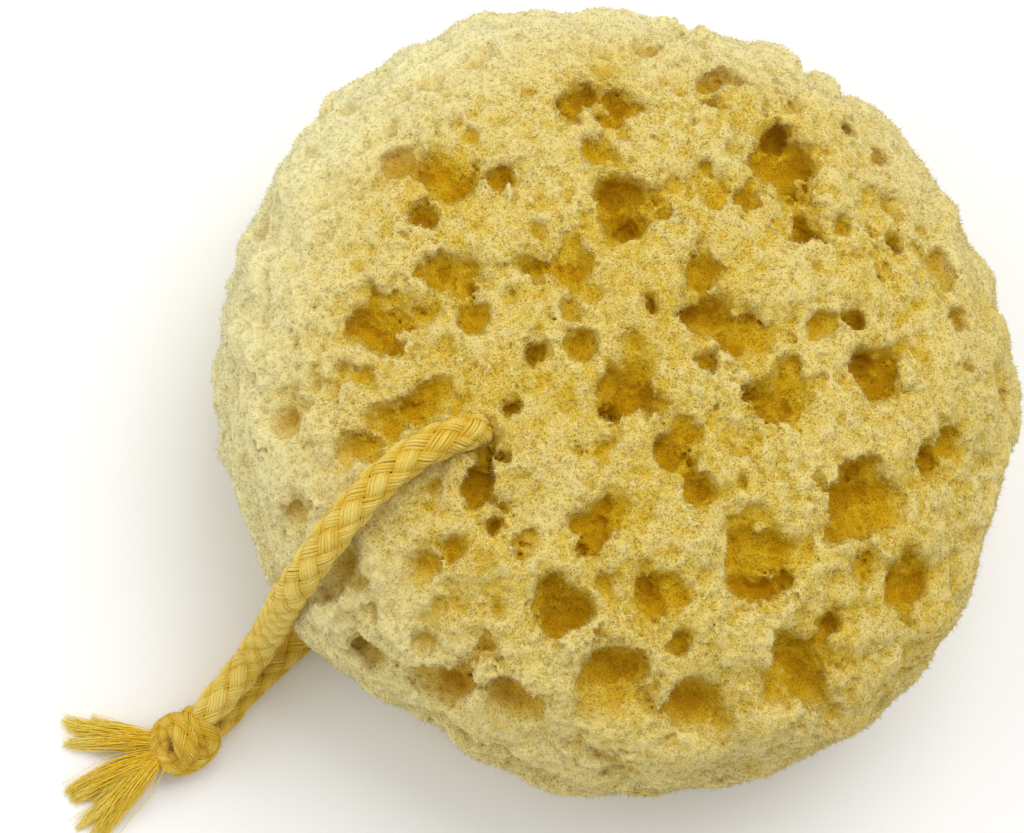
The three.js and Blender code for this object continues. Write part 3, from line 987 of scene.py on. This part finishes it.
def cut_capsule(field, start, end, radius):
    """Cuts a ball dragged from start to end out of the field, touching only nearby cells."""
    around = radius + 1
    ends = np.minimum(start, end) - around, np.maximum(start, end) + around
    block, x, y, z = cells_between(*ends)
    way = end - start
    long = max(float(way @ way), 1e-6)
    share = (x - start[0]) * way[0] + (y - start[1]) * way[1] + (z - start[2]) * way[2]
    share = np.clip(share / long, 0, 1)
    square = (x - start[0] - share * way[0]) ** 2
    square = square + (y - start[1] - share * way[1]) ** 2
    square = square + (z - start[2] - share * way[2]) ** 2
    part = field[block]
    hole = radius - np.sqrt(square)
    mix = np.clip(0.5 + 0.5 * (hole - part) / SOFT_RIM, 0, 1)
    part += mix * (hole - part) + SOFT_RIM * mix * (1 - mix)


def on_hull(x, y):
    """The place on top of the hull at x and y, or the nearest one towards the middle."""
    while True:
        column = hull[round(x / VOXEL) - LOW_CELL[0], round(y / VOXEL) - LOW_CELL[1]]
        inside = np.flatnonzero(column < 0)
        if len(inside):
            return np.array([x, y, cell_z[inside[-1]]])
        x, y = 0.98 * x, 0.98 * y


def hull_spots(count):
    """Random places spread evenly over the hull, with the way out at each."""
    corners = hull_points[hull_triangles]
    crossed = np.cross(corners[:, 1] - corners[:, 0], corners[:, 2] - corners[:, 0])
    area = np.linalg.norm(crossed, axis=1)
    chosen = rng.choice(len(area), count, p=area / area.sum())
    mix = rng.dirichlet((1, 1, 1), count)[..., None]
    return (corners[chosen] * mix).sum(1), crossed[chosen] / area[chosen, None]


# Each pit is made of three holes that run together, so that none is quite round.
for x, y, radius, depth in SHAFTS + PITS:
    top = on_hull(x, y)
    for _ in range(3):
        aside = np.append(rng.normal(0, 0.42 * radius, 2), 0)
        deep = depth * rng.uniform(0.6, 1.0)
        foot = top + aside - deep * HOLE_LEAN
        cut_capsule(foam, top + aside + [0, 0, 2], foot, radius * rng.uniform(0.6, 0.85))

PORES = 500
spots, ways = hull_spots(PORES)
sizes = 0.6 + 0.8 * rng.random(PORES) ** 2  # mm, most of them small
for spot, way, radius in zip(spots, ways, sizes):
    lean = unit(way + rng.normal(0, 0.25, 3))
    depth = radius * rng.uniform(0.0, 0.8)
    cut_capsule(foam, spot + way, spot - lean * depth, radius)
print(PORES, "pores cut, solid share:", round(float((foam < 0).mean()), 3))

# %% [markdown]
# ## Roughen, fit to the cord and the floor, and turn into a mesh
#
# The noise goes on last, so it also breaks up the rims of all the holes. The cord's own
# path is then cut again, to let it lie in the foam and not under it. The floor trims the
# underside flat. Turning the volume into a mesh leaves specks of foam that touch
# nothing, and sealed bubbles, so only the largest connected island is kept. What the
# materials need to know, such as how deep and how sheltered a place is, is read off the
# volume and stored with the points.

# %% Roughen and fit
CRATER_DEPTH, CRATER_BLUR = 6, 2.4  # mm
crater = blurred(np.clip(foam - hull, 0, CRATER_DEPTH), CRATER_BLUR)[0]
LUMP, KNOB, BEAD, LACE, LAYER = 0.45, 0.14, 0.09, 0.16, 0.28  # mm that each moves the surface
PLUMP = 0.2  # mm added all round, to make up for what the pores and the noise take off
foam += LUMP * lumps * (1 + 0.5 * wall) - PLUMP
foam += knobs * (KNOB * (1 - 0.45 * wall))
foam += beads * BEAD
foam += lace * LACE
foam += layers * (LAYER * wall)
del lace, layers
np.maximum(foam, CORD_ROOM - cord_gap, out=foam)
np.maximum(foam, -cell_z, out=foam)

NEAR, WIDE = 0.9, 3.2  # mm: a place is sheltered when there is much foam this near it
near_shelter, wide_shelter = blurred((foam < 0).astype(np.float32), NEAR, WIDE)
print("solid share when roughened:", round(float((foam < 0).mean()), 3))


# %% Sponge mesh
def sample(field, points):
    """The field's value at points in mm, in straight lines between cells."""
    at = points / VOXEL - LOW_CELL
    low = np.clip(at.astype(int), 0, CELLS - 2)
    part = (at - low).astype(np.float32)
    total = np.zeros(len(points), np.float32)
    for corner in np.ndindex(2, 2, 2):
        weight = np.prod(np.where(corner, part, 1 - part), axis=1)
        x, y, z = (low + corner).T
        total += weight * field[x, y, z]
    return total


def surface_of(field):
    """The surface where the field is 0: points in mm and four-cornered faces, pointing out."""
    grid = openvdb.FloatGrid(MARGIN)
    grid.copyFromArray(field)
    points, faces = grid.convertToQuads(isovalue=0.0)[:2]
    points = (points + LOW_CELL) * VOXEL
    return points, faces


def keep_largest_island(piece, seed):
    """Deletes all that isn't connected to the piece's largest part, looked for from the seed."""
    bpy.ops.object.select_all(action="DESELECT")
    bpy.context.view_layer.objects.active = piece
    mesh = piece.data
    for _ in range(12):  # a point on a speck is no good, and then another is tried
        chosen = np.zeros(len(mesh.vertices), bool)
        chosen[seed] = True
        mesh.vertices.foreach_set("select", chosen)
        mesh.edges.foreach_set("select", np.zeros(len(mesh.edges), bool))
        mesh.polygons.foreach_set("select", np.zeros(len(mesh.polygons), bool))
        bpy.ops.object.mode_set(mode="EDIT")
        bpy.ops.mesh.select_mode(type="VERT")
        bpy.ops.mesh.select_linked()
        bpy.ops.object.mode_set(mode="OBJECT")
        mesh.vertices.foreach_get("select", chosen)
        if chosen.mean() > 0.5:
            break
        seed = int(rng.integers(len(chosen)))
    bpy.ops.object.mode_set(mode="EDIT")
    bpy.ops.mesh.select_all(action="INVERT")
    bpy.ops.mesh.delete(type="VERT")
    bpy.ops.object.mode_set(mode="OBJECT")


points, quads = surface_of(foam)
sponge = mesh_object("sponge_body", points * MM, [quads])
print("volume to mesh:", len(points), "points,", len(quads), "faces")
keep_largest_island(sponge, seed=int(np.argmax(points[:, 0])))
points = np.empty(3 * len(sponge.data.vertices), np.float32)
sponge.data.vertices.foreach_get("co", points)
points = points.reshape(-1, 3) / MM
print("largest island:", len(points), "points,", len(sponge.data.polygons), "faces")

# %% What the material needs to know
LIT_SIDE_BEARING = math.radians(140)  # painted light: the side where the wall is painted palest, from +X
PALE_FROM, PALE_TO = 46, 70  # mm from the middle, where the paleness begins and is full
body_values = {
    # Painted shade: the material deepens the colour with near, wide and hollow, and with depth and
    # crater partly as the foam's own colour and partly as painted shade.
    "near": sample(near_shelter, points),
    "wide": sample(wide_shelter, points),
    "depth": -sample(hull, points),
    "crater": sample(crater, points),
    "wall": step_between(np.hypot(points[:, 0], points[:, 1]), PALE_FROM, PALE_TO),
    "hollow": sample(knobs, points) + 0.6 * sample(beads, points),
    # Painted light: flank is 1 on the side where the wall is painted palest and falls to 0 on the
    # opposite side.
    "flank": 0.5 + 0.5 * np.cos(np.arctan2(points[:, 1], points[:, 0]) - LIT_SIDE_BEARING),
}
give(sponge, **body_values, tip=np.zeros(len(points)))
for name, numbers in body_values.items():
    print(name, "middle half:", np.percentile(numbers, [25, 75]).round(2))

# %% [markdown]
# ## The foam's flat map
#
# The foam's place on the square map has three parts. The upper side and the underside are
# seen from straight above, and the wall between them is unrolled into a strip along the
# bottom. Which part a face belongs to is told by how steeply it is seen from a ring
# inside the sponge.

# %% Foam on its map
MAP_RING, MAP_LEVEL = 35, 31  # mm: the ring's radius and height
WALL_SLOPE = 0.75  # radians up or down from the ring, where the wall ends
MAP_REACH = 75  # mm from the middle to the edge of the upper side and of the underside


def slope_at(x, y, z, least):
    """How far up a place in mm is seen from the ring inside the sponge, in radians."""
    return np.arctan2(z - MAP_LEVEL, np.maximum(np.hypot(x, y) - MAP_RING, least))


def body_map(at):
    """Places on the flat map for face corners at (n, 4, 3) in mm."""
    middle = at.mean(1)
    slope = slope_at(*middle.T, 0.001)
    spots = np.empty((len(at), 4, 2))
    upper, under = slope > WALL_SLOPE, slope < -WALL_SLOPE
    around = ~(upper | under)
    spots[upper] = [0.33, 0.66] + 0.32 * at[upper, :, :2] / MAP_REACH
    spots[under] = [0.83, 0.50] + 0.16 * at[under, :, :2] / MAP_REACH
    at, middle = at[around], middle[around]
    bearing = np.arctan2(middle[:, 1], middle[:, 0])[:, None]
    # Taken from the face's own bearing, so that no face is torn where the circle closes.
    turned = np.arctan2(at[..., 1], at[..., 0]) - bearing
    turned = bearing + (turned + math.pi) % (2 * math.pi) - math.pi
    rise = slope_at(at[..., 0], at[..., 1], at[..., 2], 1)
    spots[around] = np.stack([0.5 + 0.156 * turned, 0.165 + 0.199 * rise], -1)
    return np.clip(spots, 0.001, 0.999)


corners = np.empty(4 * len(sponge.data.polygons), np.int32)
sponge.data.loops.foreach_get("vertex_index", corners)
corners = corners.reshape(-1, 4)
give_map(sponge, [body_map(points[corners])])
print("foam mapped:", len(corners), "faces")

# %% [markdown]
# ## Fibre ends
#
# Close up, the skin of the sponge is a fuzz of springy fibre ends that catch the light
# and soften every edge. Real hair would be lost when the model is saved, so each fibre
# end is a tiny closed spike. They stand on random spots of the finished foam, lean at
# random, and are longer on open ground than down in the pores. The many thousands are
# split over a few pieces, to keep each one light.

# %% Fibre ends
FUZZ_PIECES = 5
FIBRES_PER_PIECE = 44500
SPREAD = 0.55  # how far fibre ends lean from straight out
SHORTEST, TYPICAL, LONGEST = 0.34, 0.24, 1.3  # mm: typical is what they add to the shortest
ROOTED = 0.12  # mm of each fibre end that stands inside the foam
FIBRE_FLOOR = 0.3  # mm above the floor, below which there are none
outward = np.empty(3 * len(points), np.float32)
sponge.data.vertices.foreach_get("normal", outward)
outward = outward.reshape(-1, 3)


def fuzz(count):
    """Spikes on random faces: points in m, faces, maps, and values per point."""
    face = corners[rng.integers(len(corners), size=count)]
    mix = rng.dirichlet((1, 1, 1, 1), count)[..., None]
    feet = (points[face] * mix).sum(1)
    ways = unit(unit((outward[face] * mix).sum(1)) + SPREAD * rng.normal(0, 1, (count, 3)))
    wide = (body_values["wide"][face] * mix[..., 0]).sum(1)
    room = np.clip((0.72 - wide) / 0.22, 0.35, 1)  # in a pore there is room for a third only
    lengths = np.clip(SHORTEST + rng.exponential(TYPICAL, count), 0, LONGEST) * room + ROOTED
    feet = feet - ROOTED * ways
    keep = np.minimum(feet[:, 2], (feet + ways * lengths[:, None])[:, 2]) > FIBRE_FLOOR
    feet, ways, lengths = feet[keep], ways[keep], lengths[keep]
    spots, sides, maps = spikes(feet, ways, lengths, rng.uniform(0.05, 0.10, len(feet)))
    values = {
        name: np.repeat((numbers[face] * mix[..., 0]).sum(1)[keep], 4)
        for name, numbers in body_values.items()
    }
    # Painted light: the tip point of each fibre end is marked, and the material makes it paler.
    values["tip"] = np.tile([0, 0, 0, 1], keep.sum())
    return spots * MM, sides, maps, values


fuzz_pieces = []
for number in range(FUZZ_PIECES):
    spots, sides, maps, values = fuzz(FIBRES_PER_PIECE)
    made = mesh_object(f"sponge_fibres_{number + 1}", spots, [sides])
    give_map(made, [maps])
    give(made, **values)
    fuzz_pieces.append(made)
print("fibre pieces:", [len(made.data.polygons) for made in fuzz_pieces])

# %% [markdown]
# ## Sponge fibre
#
# One material serves the body and its fibre ends. The foam is pale cream where it stands out and
# turns straw, gold and then brown the deeper and more sheltered it is: the darkening with depth is
# partly the foam's own colour and partly painted shade, and the darkening with shelter and in
# small hollows is painted shade. These numbers were measured in the volume and stored with the
# points, and the depth of the colour is a weighted sum of them. A cell pattern half a millimetre
# wide draws the lace of fibres with dark pinholes between them, which are painted shade, and a
# little light passes through the thin fibre. The tips of the fibre ends are painted paler, as
# painted light. The outside of the wall is a little paler all round, and painted light makes it
# palest on one side.

# %% Depth of the sponge's colour
spongin, tree, fibre = shader("sponge_fibre")
where = add(tree, "TexCoord").outputs["Object"]
pinholes = add(tree, "TexVoronoi", {"Vector": where, "Scale": 1850.0}).outputs["Distance"]
grain = noise_node(tree, where, 3400.0)
patches = noise_node(tree, where, 350.0)
stain = noise_node(tree, where, 55.0, detail=3.0)
wall_share = attribute(tree, "wall")
wide = ranged(tree, attribute(tree, "wide"), 0.47, 0.80)
near = ranged(tree, attribute(tree, "near"), 0.36, 0.74)
depth = ranged(tree, attribute(tree, "depth"), 0.6, 6.0)
crater = ranged(tree, attribute(tree, "crater"), 0.12, 2.7)
open_wall = math_node(tree, "SUBTRACT", 1.0, depth, clamp=True)
open_wall = math_node(tree, "MULTIPLY", wall_share, open_wall)
lit_side = math_node(tree, "MULTIPLY", open_wall, attribute(tree, "flank"))
# Pinholes are painted shade of tiny pores. They come in patches, and there are half as many on the
# side where the wall is painted palest.
pinhole_shade = ranged(tree, pinholes, 0.12, 0.42, 1.0, 0.0)
pinhole_shade = math_node(tree, "MULTIPLY", pinhole_shade, ranged(tree, patches, 0.35, 0.6, 0.25, 1.0))
pinhole_shade = math_node(tree, "MULTIPLY", pinhole_shade, math_node(tree, "MULTIPLY_ADD", lit_side, -0.5, 1.0))
factor = math_node(
    tree,
    "ADD",
    ranged(tree, stain, 0.3, 0.7, -0.08, 0.16),
    ranged(tree, grain, 0.3, 0.7, -0.28, 0.28),
)
# Painted shade: shelter (wide, near), small hollows and the pinhole pattern deepen the colour;
# depth and crater deepen it partly as the foam's own colour, partly as painted shade; painted
# light makes the fibre tips paler.
WEIGHTS = [
    (wide, 0.37),
    (near, 0.19),
    (depth, 0.24),
    (crater, 0.29),
    (attribute(tree, "hollow"), 0.055),
    (pinhole_shade, 0.25),
    (attribute(tree, "tip"), -0.16),
    (wall_share, -0.06),
]
for value, weight in WEIGHTS:
    factor = math_node(tree, "MULTIPLY_ADD", value, weight, factor)
print("sponge colour: a sum of", len(WEIGHTS), "measures and two noises")

# %% Sponge material
SPONGE_STOPS = [
    (0.00, (0.735, 0.605, 0.23)),
    (0.25, (0.645, 0.465, 0.068)),
    (0.50, (0.59, 0.375, 0.012)),
    (0.75, (0.55, 0.315, 0.004)),
    (1.00, (0.47, 0.24, 0.002)),
]
# Painted light: a pale colour mixed into the open wall, most on one side.
LIT_SIDE_COLOUR = (0.85, 0.82, 0.49, 1)
LIT_SIDE_SHARE = 0.68  # painted light: the share of the pale colour where the wall is painted palest
# Painted shade: the dark colour of the pinholes.
PINHOLE_SHADE = (0.27, 0.17, 0.02, 1)
gold = ramp(tree, factor, SPONGE_STOPS)
colour = mixed(tree, lit_side, gold, mixed(tree, LIT_SIDE_SHARE, gold, LIT_SIDE_COLOUR))
# Painted shade: pinholes are darker down in the craters.
pinhole_shade_mix = math_node(tree, "MULTIPLY", pinhole_shade, math_node(tree, "MULTIPLY_ADD", crater, 0.22, 0.40))
height = math_node(tree, "MULTIPLY_ADD", pinhole_shade, -1.0, grain)
bump = add(tree, "Bump", {"Height": height, "Strength": 0.5, "Distance": 0.3 * MM})
SPONGE_FINISH = {
    "Base Color": mixed(tree, pinhole_shade_mix, colour, PINHOLE_SHADE),
    "Roughness": 0.9,
    "Specular IOR Level": 0.06,
    "Subsurface Weight": 0.25,
    "Subsurface Radius": (1.0, 0.75, 0.25),
    "Subsurface Scale": 1.5 * MM,
    "Normal": bump.outputs[0],
}
feed(tree, fibre, SPONGE_FINISH)
for piece in (sponge, *fuzz_pieces):
    piece.data.materials.append(spongin)

# %% [markdown]
# ## Floor and light
#
# A plain white table and soft studio light: a bright sky all round, one wide lamp high on
# the far right and a weaker one from the left, so that the pits keep soft shadows.

# %% Floor and lights
bpy.ops.mesh.primitive_plane_add(size=6)
floor = bpy.context.object
floor.name = "floor"
table, tree, white = shader("white_table")
feed(tree, white, {"Base Color": (0.93, 0.93, 0.93, 1), "Roughness": 0.7})
floor.data.materials.append(table)


def lamp(name, place, size, power, tint=(1, 1, 1)):
    """A square soft lamp that points at the middle of the sponge."""
    bpy.ops.object.light_add(type="AREA", location=place)
    made = bpy.context.object
    made.name = name
    made.data.size = size
    made.data.energy = power
    made.data.color = tint
    way = Vector((0, 0, 0.03)) - Vector(place)
    made.rotation_euler = way.to_track_quat("-Z", "Y").to_euler()


lamp("key", (0.18, 0.36, 0.85), 0.70, 4.6, (1, 0.985, 0.96))
lamp("fill", (-0.65, 0.0, 0.5), 0.6, 1.5)
world = bpy.data.worlds.new("studio")
world.use_nodes = True
sky = world.node_tree.nodes["Background"]
feed(world.node_tree, sky, {"Color": (1, 1, 1, 1), "Strength": 0.66})
bpy.context.scene.world = world
bpy.context.scene.view_settings.view_transform = "Standard"

# %% [markdown]
# ## Ride and replace
#
# Everything rides on the one body, and the CAD parts that the new pieces stand in for are hidden.
# The plait is a free cord that ends in the knot, and the sponge is soft all through and full.

# %% Ride and replace
frayed_ends = [made for made, _ in brushes]
for piece in (cord, knot, sponge, *fuzz_pieces, *frayed_ends):
    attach(piece, "root")
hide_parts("sponge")
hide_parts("cord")
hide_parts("knot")
for made, node in brushes:
    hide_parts(node)
